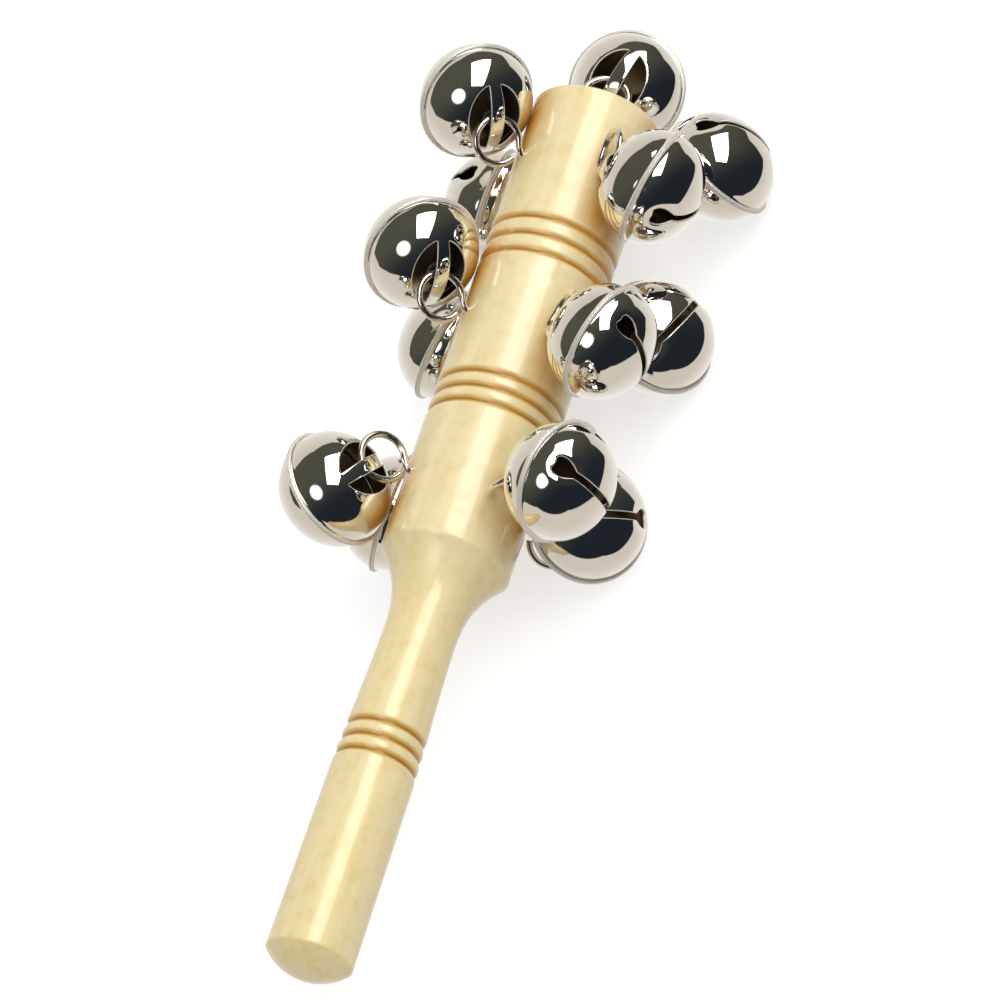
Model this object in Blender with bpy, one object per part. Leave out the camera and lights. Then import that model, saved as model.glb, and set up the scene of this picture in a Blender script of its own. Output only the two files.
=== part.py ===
"""Jingle stick: a turned wooden stick with thirteen pressed bells, each on its own screw eye.

The stick lies as it is put down on a table, on its six lower bells. Its axis runs along +Y with
the handle at -Y, +Z is up, and the table is the plane Z = 0. Driving dimensions are in
millimetres and degrees, and the meshes are made in metres.
"""
import math

import bmesh
import bpy
from mathutils import Matrix, Vector

MM = 0.001
EMPTY_SIZE = 4.0
X_AXIS = Vector((1.0, 0.0, 0.0))
Y_AXIS = Vector((0.0, 1.0, 0.0))
DOWN = Vector((0.0, 0.0, -1.0))

# Where the handle's end rim lies, and the height of the stick's axis over the table
END_X = -1.6
END_Y = -121.2
AXIS_HEIGHT = 23.87
HANDLE_END = Vector((END_X, END_Y, AXIS_HEIGHT))

# Stick, measured along its axis from the handle's end rim
STICK_LENGTH = 218.0
END_DOME = 4.5
END_DOME_STEPS = 3
HANDLE_END_RADIUS = 9.75
HANDLE_TOP_RADIUS = 9.35
HANDLE_TOP = 45.0
COLLAR_TOP = 57.0
COLLAR_RADIUS = 8.95
NECK = 79.0
NECK_RADIUS = 8.15
NECK_CURVE = 1.5
NECK_STATIONS = (64.0, 71.0, NECK)
SHOULDER = 98.3
SHOULDER_RADIUS = 14.5
SHOULDER_CURVE = 2.6
SWELL_STATIONS = (86.0, 90.5, 94.0, 96.5, SHOULDER)
HEAD_LOW_RADIUS = 14.8
HEAD_TOP_RADIUS = 15.1
EDGE_ROUND = 0.8
HANDLE_GROOVES = (47.0, 50.7, 54.4)
LOWER_GROOVES = (132.9, 136.7, 140.5)
UPPER_GROOVES = (173.0, 177.5, 182.0)
GROOVE_DEPTH = 0.8
GROOVE_HALF_WIDTH = 1.0
BEAD_FLAT = 0.35
STICK_SEGMENTS = 20
STICK_SHARP = 40.0

# Screw eye: a loop and a pointed shank bent from one wire
WIRE = 1.6
LOOP_RADIUS = 5.3
LOOP_LIFT = 0.6
LOOP_START = -62.0
LOOP_END = 250.0
LOOP_STEPS = 10
SHANK_LENGTH = 9.0
SHANK_POINT = 1.6
POINT_THICKNESS = 0.1
SHANK_TOP = (0.0, 0.1)
NECK_BEND = (1.1, 1.25)
WIRE_SIDES = 6
WIRE_SHARP = 60.0
EYE_SEAT_RADIUS = 15.0
PILOT_RADIUS = 1.15
PILOT_DEPTH = 9.4
PILOT_CONE = 1.0
PILOT_ABOVE = 1.5
PILOT_SIDES = 6

# Bell: two pressed cups crimped at a rim, slightly flattened towards the poles
BELL_RADIUS = 13.2
BELL_POLE = 11.7
SHEET = 0.5
RIM_RADIUS = 14.1
RIM_OUTER = 0.65
RIM_INNER = 0.15
CUP_SEGMENTS = 14
OUTER_LATITUDES = (25.0, 47.0, 68.0)
INNER_LATITUDES = (50.0,)
SHEET_SHARP = 35.0

# Strap cup: two crescents leave a raised bridge that hangs on the wire
CRESCENT_HALF_LENGTH = 8.0
CRESCENT_HALF_WIDTH = 6.4
CRESCENT_STEPS = 4
STRAP_HALF_WIDTH = 1.7
STRAP_END_HALF_WIDTH = 1.4
STRAP_RAISE = 0.5
ON_STRAP = 0.1
STRAP_TO_CENTRE = 10.1

# Slotted cup: one slot over the pole that opens at each end into a keyhole shaped like a fan.
# The latitudes are where the keyhole begins to widen and where it ends.
SLOT_WIDTH = 1.5
KEYHOLE_WIDTH = 3.8
KEYHOLE_START = 38.0
KEYHOLE_END = 64.0
KEYHOLE_CORNER = 0.8

# Punches for the crescents and slots reach from inside the cup to above its pole
CUTTER_LOW = 2.0
CUTTER_SPARE = 2.0

PELLET_DIAMETER = 6.4
PELLET_GAP = 0.8
PELLET_POLE_GAP = 1.0
PELLET_SEGMENTS = 8
PELLET_RINGS = 4

# One row per bell: how far along the stick its eye is, the eye's azimuth (0 is up, positive towards
# +X), the turn of its loop about its shank, and then how the bell hangs: slid along the loop,
# swung about the wire, tipped along the wire, and the turn of its slotted cup about its axis
BELLS = {
    "a1": (199.7, -28.0, -19.1, 53.9, 65.1, -0.5, 45.0),
    "a2": (157.5, -30.8, -9.2, 60.7, 52.0, 0.0, 20.0),
    "a3": (115.2, -33.0, 0.0, -55.0, 66.0, -1.0, 60.0),
    "b1": (199.0, 52.6, 10.6, -54.7, -59.1, 0.6, 4.0),
    "b2": (156.1, 56.5, -2.4, -34.6, -53.0, 1.1, 144.0),
    "b3": (114.8, 60.1, -35.2, 1.1, -38.9, 3.0, 33.0),
    "c1": (202.2, 119.3, -17.2, 38.2, 52.1, -2.8, 160.0),
    "c2": (159.9, 132.4, 13.3, 47.8, 63.6, 2.0, 52.0),
    "c3": (114.4, 140.4, 33.3, 64.2, 67.9, 5.0, 137.0),
    "d1": (200.3, 232.2, -6.5, 26.7, -64.7, 0.0, 30.0),
    "d2": (158.4, 231.7, 1.6, 39.1, -65.1, 0.0, 70.0),
    "d3": (114.9, 227.6, -14.6, 44.2, -65.6, 2.0, 10.0),
    "top": (STICK_LENGTH, 38.5, 80.0, 16.0, 65.0, -1.0, 45.0),
}

WOOD = ("lacquered_wood", (0.86, 0.73, 0.46, 1.0), 0.28, 0.0)
WIRE_METAL = ("plated_wire", (0.72, 0.69, 0.64, 1.0), 0.16, 1.0)
BELL_METAL = ("plated_sheet", (0.78, 0.76, 0.71, 1.0), 0.08, 1.0)
BALL_METAL = ("steel_ball", (0.55, 0.55, 0.56, 1.0), 0.3, 1.0)


def clear_scene():
    for obj in list(bpy.data.objects):
        bpy.data.objects.remove(obj, do_unlink=True)


def material(spec):
    """The piece's own Principled material from (name, colour, roughness, metallic)."""
    name, colour, roughness, metallic = spec
    mat = bpy.data.materials.new(name)
    mat.use_nodes = True
    shader = mat.node_tree.nodes["Principled BSDF"]
    shader.inputs["Base Color"].default_value = colour
    shader.inputs["Roughness"].default_value = roughness
    shader.inputs["Metallic"].default_value = metallic
    mat.diffuse_color = colour
    return mat


def lathe(profile, segments):
    """Close a profile of (radius, height) points in mm about Z. It starts and ends on the axis."""
    bm = bmesh.new()
    rings = []
    for radius, height in profile:
        if radius == 0.0:
            rings.append([bm.verts.new(Vector((0.0, 0.0, height)) * MM)])
            continue
        ring = []
        for i in range(segments):
            angle = 2 * math.pi * i / segments
            point = Vector((radius * math.cos(angle), radius * math.sin(angle), height))
            ring.append(bm.verts.new(point * MM))
        rings.append(ring)
    for low, high in zip(rings, rings[1:]):
        for i in range(segments):
            j = (i + 1) % segments
            corners = (low[i % len(low)], low[j % len(low)], high[j % len(high)], high[i % len(high)])
            face = [v for k, v in enumerate(corners) if v not in corners[:k]]
            bm.faces.new(face)
    bmesh.ops.recalc_face_normals(bm, faces=bm.faces)
    return finish_mesh(bm, "lathe")


def prism(outline, low, high):
    """Extrude a flat outline of (x, y) points in mm between two heights."""
    bm = bmesh.new()
    base = [bm.verts.new((x * MM, y * MM, low * MM)) for x, y in outline]
    face = bm.faces.new(base)
    top = bmesh.ops.extrude_face_region(bm, geom=[face])["geom"]
    moved = [g for g in top if isinstance(g, bmesh.types.BMVert)]
    bmesh.ops.translate(bm, verts=moved, vec=(0.0, 0.0, (high - low) * MM))
    bmesh.ops.recalc_face_normals(bm, faces=bm.faces)
    return finish_mesh(bm, "prism")


def finish_mesh(bm, name):
    mesh = bpy.data.meshes.new(name)
    bm.to_mesh(mesh)
    bm.free()
    return mesh


def cut(mesh, cutters):
    """Subtract the cutter meshes, given with their places, and return the new mesh."""
    target = bpy.data.objects.new("target", mesh)
    bpy.context.collection.objects.link(target)
    tools = []
    for cutter, place in cutters:
        tool = bpy.data.objects.new("cutter", cutter)
        bpy.context.collection.objects.link(tool)
        tool.matrix_world = place
        boolean = target.modifiers.new("cut", "BOOLEAN")
        boolean.operation = "DIFFERENCE"
        boolean.solver = "EXACT"
        boolean.object = tool
        tools.append(tool)
    bpy.context.view_layer.update()
    depsgraph = bpy.context.evaluated_depsgraph_get()
    result = bpy.data.meshes.new_from_object(target.evaluated_get(depsgraph))
    for obj in [target] + tools:
        bpy.data.objects.remove(obj, do_unlink=True)
    return result


def smooth(mesh, angle):
    mesh.shade_smooth()
    mesh.set_sharp_from_angle(angle=math.radians(angle))


def add(name, mesh, matrix, mat, parent=None):
    """Put a mesh in the scene as a named piece, optionally under an empty."""
    obj = bpy.data.objects.new(name, mesh)
    bpy.context.collection.objects.link(obj)
    obj.data.materials.clear()
    obj.data.materials.append(mat)
    if parent is not None:
        obj.parent = parent
        obj.matrix_parent_inverse = parent.matrix_basis.inverted()
    obj.matrix_basis = matrix
    return obj


def add_empty(name, matrix):
    empty = bpy.data.objects.new(name, None)
    empty.empty_display_size = EMPTY_SIZE * MM
    bpy.context.collection.objects.link(empty)
    empty.matrix_basis = matrix
    return empty


def frame(origin, x_axis, z_axis):
    """A placement with its X and Z axes as given and its origin in mm."""
    y_axis = z_axis.cross(x_axis)
    turn = Matrix((x_axis, y_axis, z_axis)).transposed().to_4x4()
    return Matrix.Translation(origin * MM) @ turn


# Stick

def grooves(centres, radius):
    """Three V grooves with a flat-topped bead between each two, as (radius, along) points."""
    points = [(radius, centres[0] - GROOVE_HALF_WIDTH)]
    for here, following in zip(centres, centres[1:]):
        bead = (here + following) / 2
        points.append((radius - GROOVE_DEPTH, here))
        points.append((radius, bead - BEAD_FLAT))
        points.append((radius, bead + BEAD_FLAT))
    points.append((radius - GROOVE_DEPTH, centres[-1]))
    points.append((radius, centres[-1] + GROOVE_HALF_WIDTH))
    return points


def head_radius(along):
    share = (along - SHOULDER) / (STICK_LENGTH - SHOULDER)
    return HEAD_LOW_RADIUS + share * (HEAD_TOP_RADIUS - HEAD_LOW_RADIUS)


def stick_profile():
    """Half outline of the turned stick as (radius, along) points, from the handle's dome up."""
    points = []
    ball = (HANDLE_END_RADIUS ** 2 + END_DOME ** 2) / (2 * END_DOME)
    half_angle = math.asin(HANDLE_END_RADIUS / ball)
    for step in range(END_DOME_STEPS + 1):
        angle = half_angle * step / END_DOME_STEPS
        points.append((ball * math.sin(angle), -END_DOME + ball * (1 - math.cos(angle))))
    points.append((HANDLE_TOP_RADIUS, HANDLE_TOP))
    points += grooves(HANDLE_GROOVES, (HANDLE_TOP_RADIUS + COLLAR_RADIUS) / 2)
    points.append((COLLAR_RADIUS, COLLAR_TOP))
    for along in NECK_STATIONS:
        share = (NECK - along) / (NECK - COLLAR_TOP)
        points.append((NECK_RADIUS + (COLLAR_RADIUS - NECK_RADIUS) * share ** NECK_CURVE, along))
    for along in SWELL_STATIONS:
        share = (along - NECK) / (SHOULDER - NECK)
        points.append((NECK_RADIUS + (SHOULDER_RADIUS - NECK_RADIUS) * share ** SHOULDER_CURVE, along))
    points.append((HEAD_LOW_RADIUS, SHOULDER + EDGE_ROUND))
    points += grooves(LOWER_GROOVES, head_radius(LOWER_GROOVES[1]))
    points += grooves(UPPER_GROOVES, head_radius(UPPER_GROOVES[1]))
    points.append((HEAD_TOP_RADIUS, STICK_LENGTH - EDGE_ROUND))
    points.append((HEAD_TOP_RADIUS - EDGE_ROUND, STICK_LENGTH))
    points.append((0.0, STICK_LENGTH))
    return points


def make_stick(layout):
    """The turned stick, lathed about its own axis, with a pilot hole under every screw eye."""
    drill = [(0.0, -PILOT_DEPTH), (PILOT_RADIUS, PILOT_CONE - PILOT_DEPTH)]
    drill += [(PILOT_RADIUS, PILOT_ABOVE), (0.0, PILOT_ABOVE)]
    pilot = lathe(drill, PILOT_SIDES)
    turned = lathe(stick_profile(), STICK_SEGMENTS)
    lie_down = frame(HANDLE_END, X_AXIS, Y_AXIS)
    holes = [(pilot, lie_down.inverted() @ place["eye"]) for place in layout.values()]
    mesh = cut(turned, holes)
    smooth(mesh, STICK_SHARP)
    return mesh, lie_down


# Screw eye

def make_eye():
    """Wire bent to a loop in the XZ plane over a pointed shank; the wood's surface is Z = 0."""
    loop_height = LOOP_LIFT + WIRE / 2 + LOOP_RADIUS
    path = [(0.0, -SHANK_LENGTH, POINT_THICKNESS), (0.0, SHANK_POINT - SHANK_LENGTH, 1.0)]
    path += [(*SHANK_TOP, 1.0), (*NECK_BEND, 1.0)]
    for step in range(LOOP_STEPS):
        angle = math.radians(LOOP_START + (LOOP_END - LOOP_START) * step / (LOOP_STEPS - 1))
        path.append((LOOP_RADIUS * math.cos(angle), loop_height + LOOP_RADIUS * math.sin(angle), 1.0))
    bm = bmesh.new()
    rings = []
    for i, (x, z, thickness) in enumerate(path):
        before = path[max(i - 1, 0)]
        after = path[min(i + 1, len(path) - 1)]
        heading = Vector((after[0] - before[0], 0.0, after[1] - before[1])).normalized()
        side = Vector((heading.z, 0.0, -heading.x))
        ring = []
        for k in range(WIRE_SIDES):
            angle = 2 * math.pi * k / WIRE_SIDES
            offset = side * math.cos(angle) + Y_AXIS * math.sin(angle)
            ring.append(bm.verts.new((Vector((x, 0.0, z)) + offset * thickness * WIRE / 2) * MM))
        rings.append(ring)
    for low, high in zip(rings, rings[1:]):
        for k in range(WIRE_SIDES):
            j = (k + 1) % WIRE_SIDES
            bm.faces.new((low[k], low[j], high[j], high[k]))
    bm.faces.new(rings[0])
    bm.faces.new(rings[-1])
    bmesh.ops.recalc_face_normals(bm, faces=bm.faces)
    mesh = finish_mesh(bm, "screw_eye")
    smooth(mesh, WIRE_SHARP)
    return mesh


# Bell

def cup():
    """One pressed half with its rim flange, open side down on the rim plane Z = 0."""
    points = [(0.0, BELL_POLE)]
    for latitude in OUTER_LATITUDES:
        angle = math.radians(latitude)
        points.append((BELL_RADIUS * math.sin(angle), BELL_POLE * math.cos(angle)))
    points.append((BELL_RADIUS, RIM_OUTER))
    points.append((RIM_RADIUS, RIM_OUTER))
    points.append((RIM_RADIUS, RIM_INNER))
    points.append((BELL_RADIUS - SHEET, RIM_INNER))
    for latitude in INNER_LATITUDES:
        angle = math.radians(latitude)
        points.append(((BELL_RADIUS - SHEET) * math.sin(angle), (BELL_POLE - SHEET) * math.cos(angle)))
    points.append((0.0, BELL_POLE - SHEET))
    return lathe(points, CUP_SEGMENTS)


def crescent(side):
    """Outline of one crescent: an arc outside and the strap's edge inside."""
    tip = math.asin(STRAP_END_HALF_WIDTH / CRESCENT_HALF_WIDTH)
    points = []
    for step in range(CRESCENT_STEPS + 1):
        angle = tip + (math.pi - 2 * tip) * step / CRESCENT_STEPS
        across = CRESCENT_HALF_WIDTH * math.sin(angle)
        points.append((CRESCENT_HALF_LENGTH * math.cos(angle), side * across))
    points.append((0.0, side * STRAP_HALF_WIDTH))
    return points


def make_strap_cup():
    """The half that hangs: its strap runs along X and stands a little proud of the dome."""
    punch_top = BELL_POLE + CUTTER_SPARE
    punches = [(prism(crescent(side), CUTTER_LOW, punch_top), Matrix()) for side in (1, -1)]
    mesh = cut(cup(), punches)
    for vertex in mesh.vertices:
        x, y, z = vertex.co / MM
        if abs(y) < STRAP_HALF_WIDTH + ON_STRAP and abs(x) < CRESCENT_HALF_LENGTH:
            top = BELL_POLE * math.sqrt(1 - (x * x + y * y) / BELL_RADIUS ** 2)
            raised = top + STRAP_RAISE * (1 - (x / CRESCENT_HALF_LENGTH) ** 2)
            vertex.co.z = MM * (raised if z > top - SHEET else raised - SHEET)
    smooth(mesh, SHEET_SHARP)
    return mesh


def slot_outline():
    """Outline of the slot over the pole with the two keyholes that it runs into."""
    start = BELL_RADIUS * math.sin(math.radians(KEYHOLE_START))
    end = BELL_RADIUS * math.sin(math.radians(KEYHOLE_END))
    half_slot = SLOT_WIDTH / 2
    half_keyhole = KEYHOLE_WIDTH / 2
    half = [(start, half_slot), (end - KEYHOLE_CORNER, half_keyhole)]
    half += [(end, half_keyhole - KEYHOLE_CORNER), (end, KEYHOLE_CORNER - half_keyhole)]
    half += [(end - KEYHOLE_CORNER, -half_keyhole), (start, -half_slot)]
    return half + [(-x, -y) for x, y in half]


def make_slotted_cup():
    """The sounding half with its slot."""
    punch = prism(slot_outline(), CUTTER_LOW, BELL_POLE + CUTTER_SPARE)
    mesh = cut(cup(), [(punch, Matrix())])
    smooth(mesh, SHEET_SHARP)
    return mesh


def make_pellet():
    bm = bmesh.new()
    radius = PELLET_DIAMETER / 2 * MM
    bmesh.ops.create_uvsphere(
        bm, u_segments=PELLET_SEGMENTS, v_segments=PELLET_RINGS, radius=radius)
    mesh = finish_mesh(bm, "pellet")
    mesh.shade_smooth()
    return mesh


def lay_out(along, azimuth, loop_turn, slide, swing, tip, slot_turn):
    """Places of one eye and its bell from the bell table's row, in the part's frame."""
    azimuth = math.radians(azimuth)
    slide = math.radians(slide)
    swing = math.radians(swing)
    tip = math.radians(tip)
    outward = Vector((math.sin(azimuth), 0.0, math.cos(azimuth)))
    in_loop = Y_AXIS
    root = HANDLE_END + along * Y_AXIS
    if along < STICK_LENGTH:
        root += EYE_SEAT_RADIUS * outward
    else:
        in_loop = outward
        outward = Y_AXIS
    in_loop = Matrix.Rotation(math.radians(loop_turn), 3, outward) @ in_loop
    normal = outward.cross(in_loop)
    loop_centre = root + (LOOP_LIFT + WIRE / 2 + LOOP_RADIUS) * outward
    to_strap = math.cos(slide) * outward + math.sin(slide) * in_loop
    wire_axis = normal.cross(to_strap)
    hang = math.cos(swing) * to_strap + math.sin(swing) * normal
    hang = (math.cos(tip) * hang + math.sin(tip) * wire_axis).normalized()
    contact = loop_centre + LOOP_RADIUS * to_strap
    centre = contact + STRAP_TO_CENTRE * hang
    strap = hang.cross(wire_axis).normalized()
    roll_axis = (hang - hang.dot(DOWN) * DOWN).normalized()
    return {
        "eye": frame(root, in_loop, outward),
        "swing": frame(contact, wire_axis.cross(hang).normalized(), hang),
        "bell": frame(centre, strap, hang),
        "strap_cup": frame(centre, strap, -hang),
        "slotted_cup": frame(centre, strap, hang) @ Matrix.Rotation(math.radians(slot_turn), 4, "Z"),
        "roll": frame(centre, roll_axis, -DOWN),
        "pellet": centre + DOWN * pellet_depth(abs(hang.dot(DOWN))),
        "wire_axis": wire_axis,
        "roll_axis": roll_axis,
    }


def pellet_depth(lean):
    """How far under the bell's centre the pellet lies, where lean is the cosine between the bell's
    axis and straight down: the inner wall is nearest at the poles and furthest at the rim."""
    inner_radius = BELL_RADIUS - SHEET
    inner_pole = BELL_POLE - SHEET
    wall = 1 / math.sqrt((1 - lean ** 2) / inner_radius ** 2 + (lean / inner_pole) ** 2)
    return wall - PELLET_DIAMETER / 2 - PELLET_GAP - PELLET_POLE_GAP * lean


def main():
    clear_scene()
    layout = {name: lay_out(*row) for name, row in BELLS.items()}
    wood = material(WOOD)
    wire = material(WIRE_METAL)
    sheet = material(BELL_METAL)
    ball = material(BALL_METAL)
    stick_mesh, lie_down = make_stick(layout)
    add("stick", stick_mesh, lie_down, wood)
    eye_mesh = make_eye()
    strap_mesh = make_strap_cup()
    slotted_mesh = make_slotted_cup()
    pellet_mesh = make_pellet()
    for name, place in layout.items():
        add(f"screw_eye_{name}", eye_mesh, place["eye"], wire)
        swing = add_empty(f"swing_{name}", place["swing"])
        roll = add_empty(f"roll_{name}", place["roll"])
        add(f"bell_{name}_strap_shell", strap_mesh, place["strap_cup"], sheet, swing)
        add(f"bell_{name}_slotted_shell", slotted_mesh, place["slotted_cup"], sheet, swing)
        add(f"bell_{name}_pellet", pellet_mesh, Matrix.Translation(place["pellet"] * MM), ball, roll)
    bpy.context.view_layer.update()


main()
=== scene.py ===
"""Looks of the jingle stick: lacquered turned wood, wire screw eyes, plated bells, and the studio.

The stick lies along +Y with the handle at -Y, +Z is up, and it rests on the plane Z = 0. Driving
dimensions are in millimetres and degrees, and the meshes are made in metres.
"""
import math

import bmesh
import bpy
import numpy as np
from mathutils import Matrix, Vector
from mathutils.geometry import delaunay_2d_cdt


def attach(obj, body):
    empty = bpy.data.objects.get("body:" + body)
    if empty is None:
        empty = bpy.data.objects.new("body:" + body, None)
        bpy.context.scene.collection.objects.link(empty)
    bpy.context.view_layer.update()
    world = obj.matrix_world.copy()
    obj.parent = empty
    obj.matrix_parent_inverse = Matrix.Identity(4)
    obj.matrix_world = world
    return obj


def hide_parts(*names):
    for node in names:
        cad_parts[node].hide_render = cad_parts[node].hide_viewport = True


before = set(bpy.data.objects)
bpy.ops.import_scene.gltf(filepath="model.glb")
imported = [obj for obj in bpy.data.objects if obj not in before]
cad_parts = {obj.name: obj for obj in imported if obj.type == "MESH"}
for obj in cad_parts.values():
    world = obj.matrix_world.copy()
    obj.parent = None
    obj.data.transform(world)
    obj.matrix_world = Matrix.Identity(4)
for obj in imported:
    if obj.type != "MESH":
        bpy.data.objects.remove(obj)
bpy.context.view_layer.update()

MM = 0.001
X_AXIS = Vector((1.0, 0.0, 0.0))
Y_AXIS = Vector((0.0, 1.0, 0.0))
Z_AXIS = Vector((0.0, 0.0, 1.0))

# Where the handle's end rim lies, with the height of the stick's axis over the table
HANDLE_END = Vector((-1.6, -121.2, 23.87))

# Stick, measured along its axis from the handle's end rim
STICK_LENGTH = 218.0
END_DOME = 4.5
HANDLE_END_RADIUS = 9.75
HANDLE_TOP_RADIUS = 9.35
HANDLE_TOP = 45.0
COLLAR_TOP = 57.0
COLLAR_RADIUS = 8.95
NECK = 79.0
NECK_RADIUS = 8.15
NECK_CURVE = 1.5
SHOULDER = 98.3
SHOULDER_RADIUS = 14.5
SHOULDER_CURVE = 2.6
HEAD_LOW_RADIUS = 14.8
HEAD_TOP_RADIUS = 15.1
EDGE_ROUND = 0.8
HANDLE_GROOVES = (47.0, 50.7, 54.4)
LOWER_GROOVES = (132.9, 136.7, 140.5)
UPPER_GROOVES = (173.0, 177.5, 182.0)
GROOVE_DEPTH = 0.8
GROOVE_HALF_WIDTH = 1.5
GROOVE_CURVE = 0.9
DOME_STEPS = 24
STATION = 0.25
HEAD_EDGE_STEPS = 8
STICK_SIDES = 160

# Screw eye: heights over its seat on the wood, and angles round its loop
WIRE = 1.6
LOOP_RADIUS = 5.3
LOOP_LIFT = 0.6
LOOP_START = -62.0
LOOP_END = 250.0
LOOP_STEPS = 72
BEND_STEPS = 10
SHANK_TOP = -1.0
SHANK_LENGTH = 9.0
SHANK_POINT = 1.6
POINT_THICKNESS = 0.05
TIP_REACH = 0.3
TIP_STEPS = 4
WIRE_SIDES = 20
EYE_SEAT_RADIUS = 15.0

# Bell: the dome of both cups, pressed from sheet. CAP_ANGLE is where its turned rim begins.
BELL_RADIUS = 13.2
BELL_POLE = 11.7
SHEET = 0.5
CAP_ANGLE = 78.0
CAP_SIDES = 144
GRID = 0.55
NORMAL_STEP = 0.02
EDGE_RADIUS = 0.22
EDGE_STEPS = 3

# Rim: heights over the plane between the cups. A fillet leads from the wall to the flange and
# passes FILLET_LOW out from the one and over the other, a bead rounds the flange, and the plating
# is dull from DULL_FROM outside the wall, with a pale tone that is partly a painted highlight.
RIM_RADIUS = 14.0
RIM_OUTER = 0.65
RIM_INNER = 0.05
WALL_STEPS = 4
FILLET_HEIGHT = 0.12
FILLET_LOW = (0.03, 0.02)
BEAD_INSET = 0.1
BEAD_STEPS = 8
RIM_BEVEL = 0.05
DULL_FROM = 0.15

# Strap cup: two crescents leave a raised bridge that hangs on the wire
CRESCENT_HALF_LENGTH = 8.0
CRESCENT_HALF_WIDTH = 6.4
CRESCENT_STEPS = 60
CRESCENT_SPACING = 0.4
STRAP_HALF_WIDTH = 1.7
STRAP_END_HALF_WIDTH = 1.4
STRAP_STEPS = 20
STRAP_RAISE = 0.5
STRAP_CURVE = 1.5
STRAP_TO_CENTRE = 10.1

# Slotted cup: one slot over the pole that opens at each end into a keyhole shaped like a fan.
# KEYHOLE_START and KEYHOLE_END are latitudes from the pole. The notch lies between the fan's lobes.
SLOT_WIDTH = 1.5
SLOT_SPACING = 0.35
KEYHOLE_WIDTH = 4.4
KEYHOLE_START = 39.0
KEYHOLE_END = 64.5
KEYHOLE_CORNER = 1.1
KEYHOLE_NOTCH = 0.05
KEYHOLE_STEPS = 8
RIDGE_RISE = 0.5
RIDGE_REACH = 4.5
RIDGE_SINK = 0.45
RIDGE_HALF_LENGTH = 8.0
DISH_DEPTH = 0.45
DISH_WIDTH = 1.4

# Pellet: its gap to the wall under it, and how much wider that is over a pole than over the rim
PELLET_DIAMETER = 6.4
PELLET_GAP = 0.8
PELLET_POLE_GAP = 1.0
PELLET_SUBDIVISIONS = 4

# One row per bell: how far along the stick its eye is, the eye's azimuth (0 is up, positive towards
# +X), the turn of its loop about its shank, and then how the bell hangs: slid along the loop,
# swung about the wire, tipped along the wire, and the turn of its slotted cup about its axis
BELLS = {
    "a1": (199.7, -28.0, -19.1, 53.9, 65.1, -0.5, 45.0),
    "a2": (157.5, -30.8, -9.2, 60.7, 52.0, 0.0, 20.0),
    "a3": (115.2, -33.0, 0.0, -55.0, 66.0, -1.0, 60.0),
    "b1": (199.0, 52.6, 10.6, -54.7, -59.1, 0.6, 4.0),
    "b2": (156.1, 56.5, -2.4, -34.6, -53.0, 1.1, 144.0),
    "b3": (114.8, 60.1, -35.2, 1.1, -38.9, 3.0, 33.0),
    "c1": (202.2, 119.3, -17.2, 38.2, 52.1, -2.8, 160.0),
    "c2": (159.9, 132.4, 13.3, 47.8, 63.6, 2.0, 18.0),
    "c3": (114.4, 140.4, 33.3, 64.2, 67.9, 5.0, 137.0),
    "d1": (200.3, 232.2, -6.5, 26.7, -64.7, 0.0, 30.0),
    "d2": (158.4, 231.7, 1.6, 39.1, -65.1, 0.0, 70.0),
    "d3": (114.9, 227.6, -14.6, 44.2, -65.6, 2.0, 10.0),
    "top": (STICK_LENGTH, 38.5, 80.0, 16.0, 65.0, -1.0, 45.0),
}

# Camera: where it looks from, at which point, and its turn about its own axis. The clips are in
# metres.
CAMERA_AZIMUTH = 51.02
CAMERA_ELEVATION = 44.38
CAMERA_ROLL = -41.65
CAMERA_DISTANCE = 1276.8
CAMERA_TARGET = Vector((3.57, -3.03, 19.22))
LENS = 207.13
SENSOR = 36.0
CLIPS = (0.05, 20.0)

# The studio that the plating mirrors, as seen from the bells. A direction is its angle off the line
# to the camera and its turn about that line, from the picture's right towards its top.
# ROOM_EDGE says at which angle the dark room ends on each turn, as pairs of turn and angle. The
# patch's softness and the surroundings' shades are in radians, and the room's in degrees. The key
# box's softness and the room's shades are heights of a unit direction over a plane.
ROOM_EDGE = [
    (-180, 99), (-160, 95), (-145, 80), (-125, 66), (-60, 68), (-35, 84), (-5, 100),
    (20, 116), (42, 104), (60, 119), (85, 108), (110, 90), (140, 89), (180, 99),
]
ROOM_SOFTNESS = 1.5
ROOM_UP_SHARE = 0.8
ROOM_LEFT_SHARE = 0.6
ROOM_SHADES = (-0.5, 0.7)
SURROUND_SHADES = (1.6, 3.0)
KEY_CORNERS = [(15, 97), (70, 95), (88, 66), (26, 36)]
KEY_SOFTNESS = 0.03
KEY_GLOW = 5.0
PATCH_MIDDLE = (27, -175)
PATCH_RADIUS = 13.0
PATCH_SOFTNESS = 0.06
PATCH_GLOW = 2.5

# Lamps for the light that isn't mirrored: angle and turn, width and height in metres, and watts,
# all at one distance in metres
LAMP_DISTANCE = 0.9
LAMPS = {
    "key_box": ((45, 80), (0.6, 1.1), 4.5),
    "fill_box": ((70, -15), (0.5, 0.5), 5.0),
}

# Table: half its width in metres, its grey, and the glow that only the camera sees
TABLE_HALF_WIDTH = 3.0
TABLE_GREY = 0.55
TABLE_GLOW = 0.62
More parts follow.
